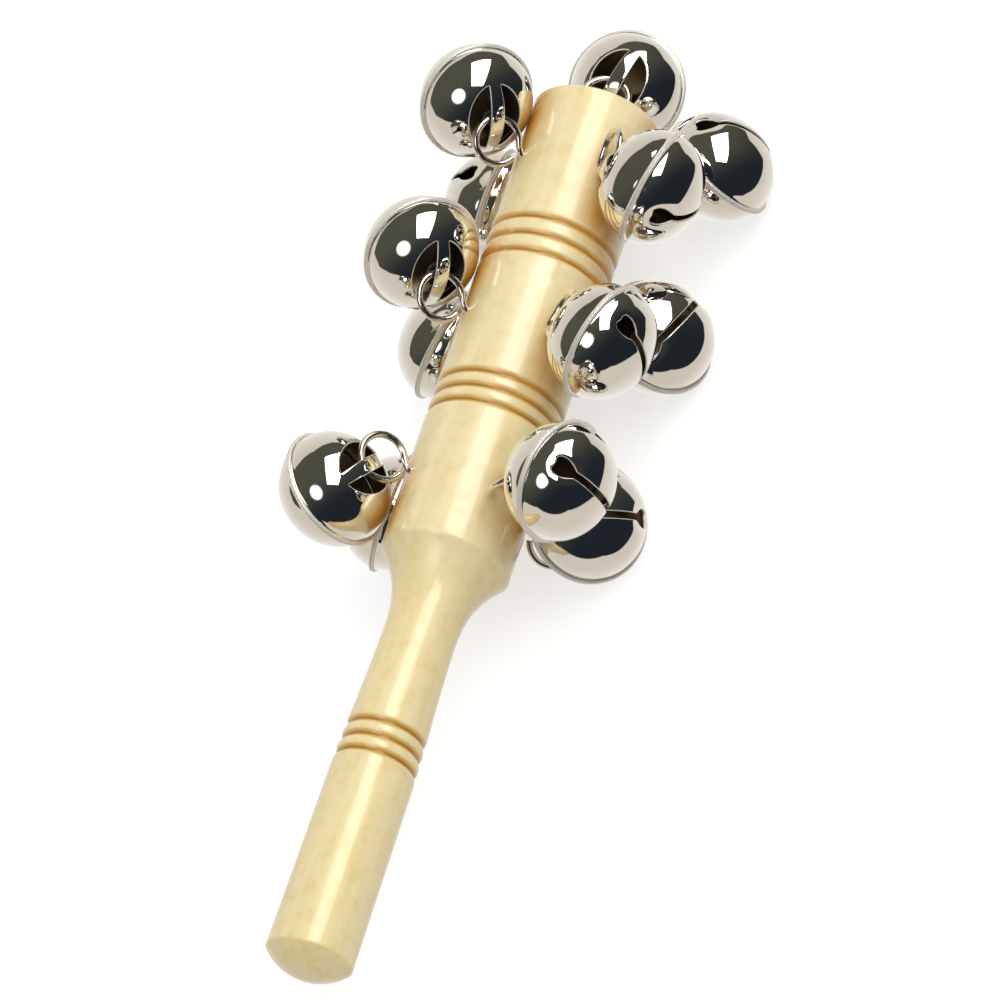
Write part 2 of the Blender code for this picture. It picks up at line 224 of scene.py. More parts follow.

# Colours, given as on a screen
ROOM_LOW = (38, 43, 50)
ROOM_HIGH = (84, 84, 74)
SURROUND_NEAR = (216, 209, 198)
SURROUND_FAR = (250, 248, 244)
CREAM = (239, 226, 182)
STRAW = (231, 212, 154)
MOTTLE = (247, 242, 232)
# Painted shade on the wood: amber at its outline and on the grooves' sides, a darker brown at the
# grooves' floor, and amber close to other pieces
AMBER = (212, 170, 86)
GROOVE_FLOOR_SHADE = (160, 114, 44)
SHADED_AMBER = (214, 152, 56)
SHEET_BRIGHT = (240, 238, 232)
SHEET_SMUDGED = (232, 228, 220)
# A pale, less metallic tone for cut edges and the flange: partly their dull bare metal, partly a
# painted highlight
DULL_EDGE_AND_HIGHLIGHT = (226, 220, 208)
WIRE_BRIGHT = (232, 226, 214)
WIRE_SMUDGED = (214, 204, 188)
PELLET_BRIGHT = (150, 148, 146)
PELLET_SMUDGED = (120, 116, 112)
BARE_STEEL = (146, 132, 112)

# Linear colours
WHITE = (1.0, 1.0, 1.0, 1.0)
ROOM_LIGHT = (0.76, 0.75, 0.74, 1.0)
FIBRE_SHADE = (0.94, 0.9, 0.82, 1.0)

# Wood. A stretch says how fine a pattern is along X, Y and Z, and the stick lies along Y. A scale
# is a noise's fineness, and a range says where one tone starts to give way to the next and where it
# has. A bump is a strength. Its depth and all other distances are in metres.
FIBRE_STRETCH = (90.0, 4.0, 90.0)
FIBRE_SCALE = 9.0
FIBRE_RANGE = (0.42, 0.75)
FIBRE_SHARE = 0.6
FIBRE_BUMP = 0.06
FIBRE_BUMP_DEPTH = 0.0003
BAND_STRETCH = (28.0, 2.5, 28.0)
BAND_SCALE = 4.0
BAND_RANGE = (0.35, 0.7)
MOTTLE_SCALE = 260.0
MOTTLE_RANGE = (0.45, 0.75)
# Where painted shade turns the wood amber: at its outline, in the grooves, and close to other
# pieces
LIMB_BLEND = 0.35
LIMB_SHARE = 0.35
GROOVE_SIDE_RANGE = (0.02, 0.5)
GROOVE_FLOOR_RANGE = (0.5, 0.9)
SHADE_REACH = 0.012
SHADE_RANGE = (0.95, 0.2)
WOOD_ROUGHNESS = 0.5
LACQUER_ROUGHNESS = 0.17
SUBSURFACE = 0.12
SUBSURFACE_RADIUS = (1.0, 0.6, 0.3)
SUBSURFACE_SCALE = 0.002

# Plating. A cut edge loses metal and gains roughness, and a bell's bare inside gains roughness.
SHEET_ROUGHNESS = 0.02
WIRE_ROUGHNESS = 0.12
PELLET_ROUGHNESS = 0.25
CLOUD_SCALE = 140.0
CLOUD_RANGE = (0.35, 0.75)
PIT_SCALE = 1400.0
PIT_BUMP = 0.02
PIT_BUMP_DEPTH = 0.0001
EDGE_METAL_LOSS = 0.6
EDGE_ROUGHENING = 0.4
INSIDE_ROUGHENING = 0.3


# Mesh helpers

def new_object(name, data):
    """An object in the scene that shows the data."""
    obj = bpy.data.objects.new(name, data)
    bpy.context.collection.objects.link(obj)
    return obj


def make_object(name, vertices, faces, mat):
    """A smooth-shaded object from points in mm and faces, with its normals out."""
    mesh = bpy.data.meshes.new(name)
    mesh.from_pydata([tuple(v) for v in np.asarray(vertices) * MM], [], faces)
    bm = bmesh.new()
    bm.from_mesh(mesh)
    bmesh.ops.recalc_face_normals(bm, faces=bm.faces)
    bm.to_mesh(mesh)
    bm.free()
    mesh.shade_smooth()
    mesh.materials.append(mat)
    return new_object(name, mesh)


def mark(obj, attribute, values):
    """Store a number per vertex for a material to read."""
    marks = obj.data.attributes.new(attribute, "FLOAT", "POINT")
    marks.data.foreach_set("value", values)


def skin(rings):
    """Faces between each closed ring of vertex numbers and the next. A ring of one is a tip."""
    faces = []
    for low, high in zip(rings, rings[1:]):
        sides = max(len(low), len(high))
        for i in range(sides):
            j = (i + 1) % sides
            corners = (int(low[i % len(low)]), int(low[j % len(low)]),
                       int(high[j % len(high)]), int(high[i % len(high)]))
            faces.append([v for k, v in enumerate(corners) if v not in corners[:k]])
    return faces


def lathe(profile, sides):
    """Vertices and faces of a profile of (radius, height) points turned about Z."""
    vertices = []
    rings = []
    for radius, height in profile:
        count = 1 if radius == 0.0 else sides
        rings.append(range(len(vertices), len(vertices) + count))
        for i in range(count):
            angle = 2 * math.pi * i / sides
            vertices.append((radius * math.cos(angle), radius * math.sin(angle), height))
    return vertices, skin(rings)


def frame_matrix(origin, x_axis, z_axis):
    """A placement with its X and Z axes as given and its origin in mm."""
    y_axis = z_axis.cross(x_axis)
    turn = Matrix((x_axis, y_axis, z_axis)).transposed().to_4x4()
    return Matrix.Translation(origin * MM) @ turn


# Stick

def head_radius(along):
    share = (along - SHOULDER) / (STICK_LENGTH - SHOULDER)
    return HEAD_LOW_RADIUS + share * (HEAD_TOP_RADIUS - HEAD_LOW_RADIUS)


def turned_radius(along):
    """Radius of the turned stick at a station, before its grooves."""
    if along < HANDLE_TOP:
        return HANDLE_END_RADIUS + (HANDLE_TOP_RADIUS - HANDLE_END_RADIUS) * along / HANDLE_TOP
    if along < COLLAR_TOP:
        share = (along - HANDLE_TOP) / (COLLAR_TOP - HANDLE_TOP)
        return HANDLE_TOP_RADIUS + share * (COLLAR_RADIUS - HANDLE_TOP_RADIUS)
    if along < NECK:
        share = (NECK - along) / (NECK - COLLAR_TOP)
        return NECK_RADIUS + (COLLAR_RADIUS - NECK_RADIUS) * share ** NECK_CURVE
    if along < SHOULDER:
        share = (along - NECK) / (SHOULDER - NECK)
        return NECK_RADIUS + (SHOULDER_RADIUS - NECK_RADIUS) * share ** SHOULDER_CURVE
    edge = min(1.0, (along - SHOULDER) / EDGE_ROUND)
    return SHOULDER_RADIUS + (head_radius(along) - SHOULDER_RADIUS) * math.sin(edge * math.pi / 2)


def groove_cut(along):
    """How deep the grooves cut at a station: narrow at the bottom, with rounded beads between."""
    deepest = 0.0
    for centre in HANDLE_GROOVES + LOWER_GROOVES + UPPER_GROOVES:
        offset = abs(along - centre) / GROOVE_HALF_WIDTH
        if offset < 1.0:
            cut = GROOVE_DEPTH * (1 - math.sin(offset * math.pi / 2)) ** GROOVE_CURVE
            deepest = max(deepest, cut)
    return deepest


def stick_profile():
    """Half section as (radius, station): the domed end, the turned side and the head's flat end."""
    ball = (HANDLE_END_RADIUS ** 2 + END_DOME ** 2) / (2 * END_DOME)
    half_angle = math.asin(HANDLE_END_RADIUS / ball)
    points = [(0.0, -END_DOME)]
    for step in range(1, DOME_STEPS):
        angle = half_angle * step / DOME_STEPS
        points.append((ball * math.sin(angle), -END_DOME + ball * (1 - math.cos(angle))))
    side = STICK_LENGTH - EDGE_ROUND
    stations = int(side / STATION)
    for step in range(stations + 1):
        along = side * step / stations
        points.append((turned_radius(along) - groove_cut(along), along))
    for step in range(1, HEAD_EDGE_STEPS + 1):
        angle = math.pi / 2 * step / HEAD_EDGE_STEPS
        radius = HEAD_TOP_RADIUS - EDGE_ROUND * (1 - math.cos(angle))
        points.append((radius, STICK_LENGTH - EDGE_ROUND * (1 - math.sin(angle))))
    points.append((HEAD_TOP_RADIUS / 2, STICK_LENGTH))
    points.append((0.0, STICK_LENGTH))
    return points


def make_stick(mat):
    vertices, faces = lathe(stick_profile(), STICK_SIDES)
    stick = make_object("turned_stick", vertices, faces, mat)
    mark(stick, "groove", [groove_cut(v[2]) / GROOVE_DEPTH for v in vertices])
    stick.data.transform(frame_matrix(HANDLE_END, X_AXIS, Y_AXIS))
    return stick


# Screw eye

def eye_path():
    """Centre line of the wire as (x, z, thickness), from the shank's point to the loop's end."""
    loop_height = LOOP_LIFT + WIRE / 2 + LOOP_RADIUS
    start = math.radians(LOOP_START)
    end = math.radians(LOOP_END)
    foot = Vector((LOOP_RADIUS * math.cos(start), loop_height + LOOP_RADIUS * math.sin(start)))
    heading = Vector((-math.sin(start), math.cos(start)))
    corner = foot - heading * (foot.x / heading.x)
    shank_top = Vector((0.0, SHANK_TOP))
    points = [(0.0, -SHANK_LENGTH, POINT_THICKNESS), (0.0, SHANK_POINT - SHANK_LENGTH, 1.0)]
    for step in range(BEND_STEPS):
        t = step / BEND_STEPS
        spot = shank_top * (1 - t) ** 2 + corner * 2 * t * (1 - t) + foot * t ** 2
        points.append((spot.x, spot.y, 1.0))
    for step in range(LOOP_STEPS + 1):
        angle = start + math.radians(LOOP_END - LOOP_START) * step / LOOP_STEPS
        height = loop_height + LOOP_RADIUS * math.sin(angle)
        points.append((LOOP_RADIUS * math.cos(angle), height, 1.0))
    heading = Vector((-math.sin(end), math.cos(end)))
    tip = Vector((LOOP_RADIUS * math.cos(end), loop_height + LOOP_RADIUS * math.sin(end)))
    for step in range(1, TIP_STEPS):
        angle = math.pi / 2 * step / TIP_STEPS
        spot = tip + heading * TIP_REACH * math.sin(angle)
        points.append((spot.x, spot.y, math.cos(angle) ** 0.5))
    return points


def make_eye(mat):
    """One screw eye: round wire swept along its path, pointed at the shank and blunt at the tip."""
    path = eye_path()
    vertices = []
    for i, (x, z, thickness) in enumerate(path):
        before = path[max(i - 1, 0)]
        after = path[min(i + 1, len(path) - 1)]
        heading = Vector((after[0] - before[0], 0.0, after[1] - before[1])).normalized()
        side = Vector((heading.z, 0.0, -heading.x))
        for k in range(WIRE_SIDES):
            angle = 2 * math.pi * k / WIRE_SIDES
            offset = side * math.cos(angle) + Y_AXIS * math.sin(angle)
            vertices.append(Vector((x, 0.0, z)) + offset * thickness * WIRE / 2)
    rings = [range(start, start + WIRE_SIDES) for start in range(0, len(vertices), WIRE_SIDES)]
    faces = skin(rings) + [tuple(rings[0]), tuple(rings[-1])]
    return make_object("eye_wire_mesh", vertices, faces, mat)


# Bell cups: a cap punched with holes, carried on a lathed rim. The cap is laid out on a flat map,
# where a spot's distance from the middle is its arc length from the pole.

def dome(spots):
    """Points of the plain dome at map spots."""
    arc = np.hypot(spots[:, 0], spots[:, 1]) / BELL_RADIUS
    round_about = np.arctan2(spots[:, 1], spots[:, 0])
    radius = BELL_RADIUS * np.sin(arc)
    height = BELL_POLE * np.cos(arc)
    return np.column_stack([radius * np.cos(round_about), radius * np.sin(round_about), height])


def wall_radius(height):
    """Outer radius of the plain dome at a height over the rim's plane."""
    return BELL_RADIUS * math.sqrt(1 - (height / BELL_POLE) ** 2)


def strap_dome(spots):
    """The dome with its strap raised a little between the crescents."""
    points = dome(spots)
    across = np.clip(1 - (points[:, 0] / CRESCENT_HALF_LENGTH) ** 2, 0, 1)
    near = np.exp(-(points[:, 1] / (2 * STRAP_HALF_WIDTH)) ** 4)
    points[:, 2] += STRAP_RAISE * across ** STRAP_CURVE * near
    return points


def slotted_dome(spots):
    """The dome sunk a little round its pole, dished round both keyholes, and with a low ridge along
    the slot that stays under the plain dome."""
    points = dome(spots)
    along = np.exp(-(points[:, 0] / RIDGE_HALF_LENGTH) ** 4)
    ridge = RIDGE_RISE * np.exp(-np.abs(points[:, 1]) / RIDGE_REACH) - RIDGE_SINK
    points[:, 2] += ridge * along * np.exp(-(points[:, 1] / RIDGE_HALF_LENGTH) ** 4)
    near = math.radians(KEYHOLE_START) * BELL_RADIUS + KEYHOLE_WIDTH / 2
    far = math.radians(KEYHOLE_END) * BELL_RADIUS - KEYHOLE_WIDTH / 2
    beyond = np.abs(spots[:, 0]) - np.clip(np.abs(spots[:, 0]), near, far)
    reach = np.maximum(np.hypot(beyond, spots[:, 1]) - KEYHOLE_WIDTH / 2, 0)
    dish = DISH_DEPTH * np.exp(-(reach / DISH_WIDTH) ** 2)
    return points - dish[:, None] * points / BELL_RADIUS


def normals(shape, spots):
    """Outward unit normals of a dome shape at map spots."""
    east = shape(spots + [NORMAL_STEP, 0.0]) - shape(spots - [NORMAL_STEP, 0.0])
    north = shape(spots + [0.0, NORMAL_STEP]) - shape(spots - [0.0, NORMAL_STEP])
    outward = np.cross(east, north)
    return outward / np.linalg.norm(outward, axis=1)[:, None]


def inside(outline, spots):
    """Which map spots lie inside a closed outline."""
    found = np.zeros(len(spots), bool)
    for (x0, y0), (x1, y1) in zip(outline, np.roll(outline, -1, axis=0)):
        crosses = (y0 > spots[:, 1]) != (y1 > spots[:, 1])
        rise = y1 - y0 if y1 != y0 else 1.0
        found ^= crosses & (spots[:, 0] < x0 + (spots[:, 1] - y0) * (x1 - x0) / rise)
    return found


def distance(outline, spots):
    """How far map spots lie from a closed outline."""
    nearest = np.full(len(spots), np.inf)
    for start, end in zip(outline, np.roll(outline, -1, axis=0)):
        run = end - start
        share = np.clip(((spots - start) @ run) / (run @ run), 0, 1)
        gap = np.linalg.norm(spots - start - share[:, None] * run, axis=1)
        nearest = np.minimum(nearest, gap)
    return nearest


def even_outline(corners, spacing):
    """The closed outline through the corners, walked at an even spacing, counter-clockwise."""
    corners = np.asarray(corners)
    following = np.roll(corners, -1, axis=0)
    area = (corners[:, 0] * following[:, 1] - following[:, 0] * corners[:, 1]).sum()
    if area < 0:
        corners = corners[::-1]
        following = np.roll(corners, -1, axis=0)
    lengths = np.linalg.norm(following - corners, axis=1)
    walked = np.concatenate([[0.0], np.cumsum(lengths)])
    count = int(round(walked[-1] / spacing))
    closed = np.vstack([corners, corners[:1]])
    stops = walked[-1] * np.arange(count) / count
    return np.column_stack([np.interp(stops, walked, closed[:, axis]) for axis in (0, 1)])


def outline_normals(outline):
    """Unit directions out of a counter-clockwise outline at its points."""
    run = np.roll(outline, -1, axis=0) - np.roll(outline, 1, axis=0)
    out = np.column_stack([run[:, 1], -run[:, 0]])
    return out / np.linalg.norm(out, axis=1)[:, None]


def edge_rings():
    """Offsets and depths of the rings that round a sheet's cut edge, from its face to its back."""
    rings = []
    for step in range(EDGE_STEPS + 1):
        angle = math.pi / 2 * step / EDGE_STEPS
        rings.append((EDGE_RADIUS * (1 - math.sin(angle)), EDGE_RADIUS * (1 - math.cos(angle))))
    return rings + [(offset, SHEET - depth) for offset, depth in reversed(rings)]


def rim_profile():
    """Turned rim from the cap's outer edge round the flange to the cap's inner edge."""
    cap_edge = BELL_POLE * math.cos(math.radians(CAP_ANGLE))
    foot = RIM_OUTER + FILLET_HEIGHT
    points = []
    for step in range(1, WALL_STEPS + 1):
        height = cap_edge + (foot - cap_edge) * step / WALL_STEPS
        points.append((wall_radius(height), height))
    points.append((BELL_RADIUS + FILLET_LOW[0], RIM_OUTER + FILLET_LOW[1]))
    reach = RIM_RADIUS - BELL_RADIUS - BEAD_INSET
    drop = RIM_OUTER - RIM_INNER - BEAD_INSET
    for step in range(BEAD_STEPS + 1):
        angle = math.pi / 2 * step / BEAD_STEPS
        radius = RIM_RADIUS - reach * (1 - math.sin(angle))
        points.append((radius, RIM_OUTER - drop * (1 - math.cos(angle))))
    points.append((RIM_RADIUS, RIM_INNER + RIM_BEVEL))
    points.append((RIM_RADIUS - RIM_BEVEL, RIM_INNER))
    points.append((BELL_RADIUS, RIM_INNER))
    points.append((BELL_RADIUS - SHEET, RIM_INNER))
    for step in range(1, WALL_STEPS):
        height = cap_edge * step / WALL_STEPS
        points.append((wall_radius(height) - SHEET, height))
    return points


def cap_grid(lips):
    """Map spots of a triangular grid over the cap, clear of its border and of its holes' lips."""
    border_reach = math.radians(CAP_ANGLE) * BELL_RADIUS
    half = int(border_reach / GRID) + 1
    columns, rows = np.meshgrid(np.arange(-half, half + 1), np.arange(-half, half + 1))
    grid_x = (columns + 0.5 * (rows % 2)) * GRID
    grid_y = rows * GRID * math.sqrt(3) / 2
    spots = np.column_stack([grid_x.ravel(), grid_y.ravel()])
    keep = np.hypot(spots[:, 0], spots[:, 1]) < border_reach - 0.5 * GRID
    for lip in lips:
        keep &= ~inside(lip, spots) & (distance(lip, spots) > 0.5 * GRID)
    return spots[keep]


def cap_triangles(border, lips):
    """Map spots and triangles of the cap. The border's spots come first, then each lip's."""
    outlines = [border] + lips
    edges = []
    start = 0
    for outline in outlines:
        count = len(outline)
        edges += [(start + i, start + (i + 1) % count) for i in range(count)]
        start += count
    flat = [Vector(spot) for spot in np.vstack(outlines + [cap_grid(lips)])]
    result = delaunay_2d_cdt(flat, edges, [], 0, 1e-6)
    spots = np.array([tuple(v) for v in result[0]])
    triangles = np.array(result[2])
    middles = spots[triangles].mean(axis=1)
    solid = np.ones(len(triangles), bool)
    for lip in lips:
        solid &= ~inside(lip, middles)
    return spots, triangles[solid]


def make_cup(name, shape, holes, mat):
    """A pressed cup: the cap's two faces, the rounded edges of its holes, and the rim."""
    turn = 2 * math.pi * np.arange(CAP_SIDES) / CAP_SIDES
    circle = np.column_stack([np.cos(turn), np.sin(turn)])
    lips = [hole + EDGE_RADIUS * outline_normals(hole) for hole in holes]
    spots, triangles = cap_triangles(math.radians(CAP_ANGLE) * BELL_RADIUS * circle, lips)
    parts = []

    def add(points, hidden=0.0, cut=0.0):
        """Keep points with how far they are inside and on a dull edge, which takes a partly painted
        highlight, and give their numbers.
        """
        start = sum(len(part[0]) for part in parts)
        parts.append((points, hidden, cut))
        return np.arange(start, start + len(points))

    outer = shape(spots)
    face = add(outer)
    back = add(outer - SHEET * normals(shape, spots), hidden=1.0)
    faces = [face[t].tolist() for t in triangles] + [back[t[::-1]].tolist() for t in triangles]
    start = CAP_SIDES
    for hole in holes:
        lip = slice(start, start + len(hole))
        out = outline_normals(hole)
        rings = [face[lip]]
        for offset, depth in edge_rings()[1:-1]:
            spot = hole + offset * out
            rings.append(add(shape(spot) - depth * normals(shape, spot), cut=1.0))
        faces += skin(rings + [back[lip]])
        start += len(hole)
    rings = [face[:CAP_SIDES]]
    for radius, height in rim_profile():
        points = np.column_stack([radius * circle, np.full(CAP_SIDES, height)])
        # The flange beyond DULL_FROM counts as a dull edge, with its partly painted highlight
        rings.append(add(points, hidden=float(radius <= BELL_RADIUS - SHEET),
                         cut=float(radius > BELL_RADIUS + DULL_FROM)))
    faces += skin(rings + [back[:CAP_SIDES]])
    cup = make_object(name, np.vstack([part[0] for part in parts]), faces, mat)
    for column, attribute in ((1, "inside"), (2, "dull_edge_and_highlight")):
        mark(cup, attribute, np.repeat([part[column] for part in parts],
                                       [len(part[0]) for part in parts]))
    return cup


def map_of_plan(points):
    """Map spots of points given in plan, as seen along the cup's axis."""
    points = np.asarray(points)
    reach = np.hypot(points[:, 0], points[:, 1])
    arc = np.arcsin(np.clip(reach / BELL_RADIUS, 0, 1)) * BELL_RADIUS
    return points * (arc / np.maximum(reach, 1e-9))[:, None]


def crescent(side):
    """Map outline of one crescent: an arc outside and the strap's bowed edge inside."""
    tip = math.asin(STRAP_END_HALF_WIDTH / CRESCENT_HALF_WIDTH)
    points = []
    for step in range(CRESCENT_STEPS + 1):
        angle = tip + (math.pi - 2 * tip) * step / CRESCENT_STEPS
        across = CRESCENT_HALF_WIDTH * math.sin(angle)
        points.append((CRESCENT_HALF_LENGTH * math.cos(angle), side * across))
    end = CRESCENT_HALF_LENGTH * math.cos(tip)
    for step in range(1, STRAP_STEPS):
        x = -end + 2 * end * step / STRAP_STEPS
        bow = STRAP_HALF_WIDTH + (STRAP_END_HALF_WIDTH - STRAP_HALF_WIDTH) * (x / end) ** 2
        points.append((x, side * bow))
    return even_outline(map_of_plan(points), CRESCENT_SPACING)


def keyhole():
    """Plan of one end of the slot: it flares like a fan to two rounded lobes."""
    start = BELL_RADIUS * math.sin(math.radians(KEYHOLE_START))
    end = BELL_RADIUS * math.sin(math.radians(KEYHOLE_END))
    upper = []
    for step in range(KEYHOLE_STEPS + 1):
        share = step / KEYHOLE_STEPS
        flare = math.sin(share * math.pi / 2)
        half = (SLOT_WIDTH + (KEYHOLE_WIDTH - SLOT_WIDTH) * flare) / 2
        upper.append((start + (end - KEYHOLE_CORNER - start) * share, half))
    for step in range(1, KEYHOLE_STEPS + 1):
        angle = math.radians(90 * step / KEYHOLE_STEPS)
        x = end - KEYHOLE_CORNER * (1 - math.sin(angle))
        upper.append((x, KEYHOLE_WIDTH / 2 - KEYHOLE_CORNER * (1 - math.cos(angle))))
    tip = (end - KEYHOLE_NOTCH, 0.0)
    return upper + [tip] + [(x, -y) for x, y in reversed(upper)]


def slot_outline():
    """Map outline of the slot over the pole with a keyhole at each end."""
    half = keyhole()
    return even_outline(map_of_plan(half + [(-x, -y) for x, y in half]), SLOT_SPACING)


# Pellet and places

def make_pellet(mat):
    mesh = bpy.data.meshes.new("pellet_mesh")
    bm = bmesh.new()
    bmesh.ops.create_icosphere(
        bm, subdivisions=PELLET_SUBDIVISIONS, radius=PELLET_DIAMETER / 2 * MM)
    bm.to_mesh(mesh)
    bm.free()
    mesh.shade_smooth()
    mesh.materials.append(mat)
    return new_object("pellet_mesh", mesh)


def pellet_depth(lean):
    """How far under the bell's centre the pellet lies, where lean is the cosine between the bell's
    axis and straight down."""
    inner_radius = BELL_RADIUS - SHEET
    inner_pole = BELL_POLE - SHEET
    wall = 1 / math.sqrt((1 - lean ** 2) / inner_radius ** 2 + (lean / inner_pole) ** 2)
    return wall - PELLET_DIAMETER / 2 - PELLET_GAP - PELLET_POLE_GAP * lean


def lay_out(along, azimuth, loop_turn, slide, swing, tip, slot_turn):
    """Places of one eye and its bell from the bell table's row, in the part's frame."""
    azimuth = math.radians(azimuth)
    slide = math.radians(slide)
    swing = math.radians(swing)
    tip = math.radians(tip)
    outward = Vector((math.sin(azimuth), 0.0, math.cos(azimuth)))
    in_loop = Y_AXIS
    root = HANDLE_END + along * Y_AXIS
    if along < STICK_LENGTH:
        root += EYE_SEAT_RADIUS * outward
    else:
        in_loop = outward
        outward = Y_AXIS
    in_loop = Matrix.Rotation(math.radians(loop_turn), 3, outward) @ in_loop
    normal = outward.cross(in_loop)
    loop_centre = root + (LOOP_LIFT + WIRE / 2 + LOOP_RADIUS) * outward
    to_strap = math.cos(slide) * outward + math.sin(slide) * in_loop
    wire_axis = normal.cross(to_strap)
    hang = math.cos(swing) * to_strap + math.sin(swing) * normal
    hang = (math.cos(tip) * hang + math.sin(tip) * wire_axis).normalized()
    contact = loop_centre + LOOP_RADIUS * to_strap
    centre = contact + STRAP_TO_CENTRE * hang
    strap = hang.cross(wire_axis).normalized()
    slot_spin = Matrix.Rotation(math.radians(slot_turn), 4, "Z")
    return {
        "eye": frame_matrix(root, in_loop, outward),
        "strap_cup": frame_matrix(centre, strap, -hang),
        "slotted_cup": frame_matrix(centre, strap, hang) @ slot_spin,
        "pellet": Matrix.Translation((centre - Z_AXIS * pellet_depth(abs(hang.z))) * MM),
    }


def place(template, name, matrix, body, node):
    """Put a copy of a template in its place, riding on its body instead of the plain solid."""
    mesh = template.data.copy()
    mesh.transform(matrix)
    piece = new_object(name, mesh)
    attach(piece, body)
    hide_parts(node)


# Materials

class Nodes:
    """A node tree with short calls to add and join nodes."""

    def __init__(self, tree):
        self.tree = tree

    def add(self, kind, settings=(), **inputs):
        """A new node with its settings, and its inputs by name or, as i0, i1 and on, by number."""
        node = self.tree.nodes.new(kind)
        for key, value in dict(settings).items():
            setattr(node, key, value)
        for key, value in inputs.items():
            self.feed(node, key.replace("_", " "), value)
        return node

    def feed(self, node, key, value):
        numbered = key[0] == "i" and key[1:].isdigit()
        socket = node.inputs[int(key[1:]) if numbered else key]
        if isinstance(value, bpy.types.NodeSocket):
            self.tree.links.new(value, socket)
        else:
            socket.default_value = value

    def noise(self, spot, scale, detail, **inputs):
        node = self.add("ShaderNodeTexNoise", Vector=spot, Scale=scale, Detail=detail, **inputs)
        return node.outputs["Fac"]

    def stretch(self, spot, scale):
        return self.add("ShaderNodeMapping", Vector=spot, Scale=scale).outputs["Vector"]

    def attribute(self, name):
        return self.add("ShaderNodeAttribute", {"attribute_name": name}).outputs["Fac"]

    def bump(self, strength, distance, height):
        node = self.add("ShaderNodeBump", Strength=strength, Distance=distance, Height=height)
        return node.outputs["Normal"]

    def ramp(self, factor, stops):
        """A colour from a factor, between stops of position and colour."""
        node = self.add("ShaderNodeValToRGB", Fac=factor)
        elements = node.color_ramp.elements
        while len(elements) < len(stops):
            elements.new(0.5)
        for element, (position, colour) in zip(elements, stops):
            element.position = position
            element.color = colour
        return node.outputs["Color"]

    def sum(self, operation, *values):
        """Output of a plain sum between numbers or sockets."""
        node = self.add("ShaderNodeMath", {"operation": operation})
        for i, value in enumerate(values):
            self.feed(node, f"i{i}", value)
        return node.outputs[0]

    def dot(self, first, second):
        node = self.add("ShaderNodeVectorMath", {"operation": "DOT_PRODUCT"}, i0=first, i1=second)
        return node.outputs["Value"]

    def mix(self, factor, low, high, blend="MIX"):
        node = self.add(
            "ShaderNodeMixRGB", {"blend_type": blend}, Fac=factor, Color1=low, Color2=high)
        return node.outputs["Color"]

    def step(self, value, low, high):
        """Smooth step from 0 at the low value to 1 at the high one."""
        node = self.add("ShaderNodeMapRange", {"interpolation_type": "SMOOTHSTEP"}, Value=value,
                        From_Min=low, From_Max=high)
        return node.outputs["Result"]


def srgb(red, green, blue):
    """A colour given as on a screen, 0 to 255, as the linear colour that a shader takes."""
    return tuple((c / 255) ** 2.2 for c in (red, green, blue)) + (1.0,)


def new_material(name):
    """A material, its nodes, its shader, and where a point is on the object."""
    material = bpy.data.materials.new(name)
    material.use_nodes = True
    n = Nodes(material.node_tree)
    spot = n.add("ShaderNodeTexCoord").outputs["Object"]
    return material, n, n.tree.nodes["Principled BSDF"], spot


def wood_material():
    """Pale lacquered wood: straw bands, fine fibres along the stick and a faint mottle. Painted
    shade turns it amber towards its outline, in the grooves and close to other pieces."""
    material, n, shader, spot = new_material("lacquered_wood")
    fibre = n.noise(n.stretch(spot, FIBRE_STRETCH), FIBRE_SCALE, 6.0, Roughness=0.6)
    bands = n.noise(n.stretch(spot, BAND_STRETCH), BAND_SCALE, 3.0, Distortion=0.4)
    base = n.ramp(bands, list(zip(BAND_RANGE, (srgb(*CREAM), srgb(*STRAW)))))
    streaks = n.ramp(fibre, list(zip(FIBRE_RANGE, (WHITE, FIBRE_SHADE))))
    toned = n.mix(FIBRE_SHARE, base, streaks, "MULTIPLY")
    mottle = n.step(n.noise(spot, MOTTLE_SCALE, 3.0), *MOTTLE_RANGE)
    toned = n.mix(mottle, toned, srgb(*MOTTLE), "MULTIPLY")
    # Painted shade: the wood turns amber towards its outline
    limb = n.add("ShaderNodeLayerWeight", Blend=LIMB_BLEND).outputs["Facing"]
    toned = n.mix(n.sum("MULTIPLY", limb, LIMB_SHARE), toned, srgb(*AMBER))
    # Painted shade in the grooves: amber on their sides and a darker brown at their floor
    groove = n.attribute("groove")
    toned = n.mix(n.step(groove, *GROOVE_SIDE_RANGE), toned, srgb(*AMBER))
    toned = n.mix(n.step(groove, *GROOVE_FLOOR_RANGE), toned, srgb(*GROOVE_FLOOR_SHADE))
    # Painted shade: amber where other pieces and the table come close to the wood
    openness = n.add("ShaderNodeAmbientOcclusion", Distance=SHADE_REACH).outputs["AO"]
    toned = n.mix(n.step(openness, *SHADE_RANGE), toned, srgb(*SHADED_AMBER))
    n.feed(shader, "Base Color", toned)
    n.feed(shader, "Roughness", WOOD_ROUGHNESS)
    n.feed(shader, "Coat Weight", 1.0)
    n.feed(shader, "Coat Roughness", LACQUER_ROUGHNESS)
    n.feed(shader, "Subsurface Weight", SUBSURFACE)
    n.feed(shader, "Subsurface Radius", SUBSURFACE_RADIUS)
    n.feed(shader, "Subsurface Scale", SUBSURFACE_SCALE)
    n.feed(shader, "Normal", n.bump(FIBRE_BUMP, FIBRE_BUMP_DEPTH, fibre))
    return material


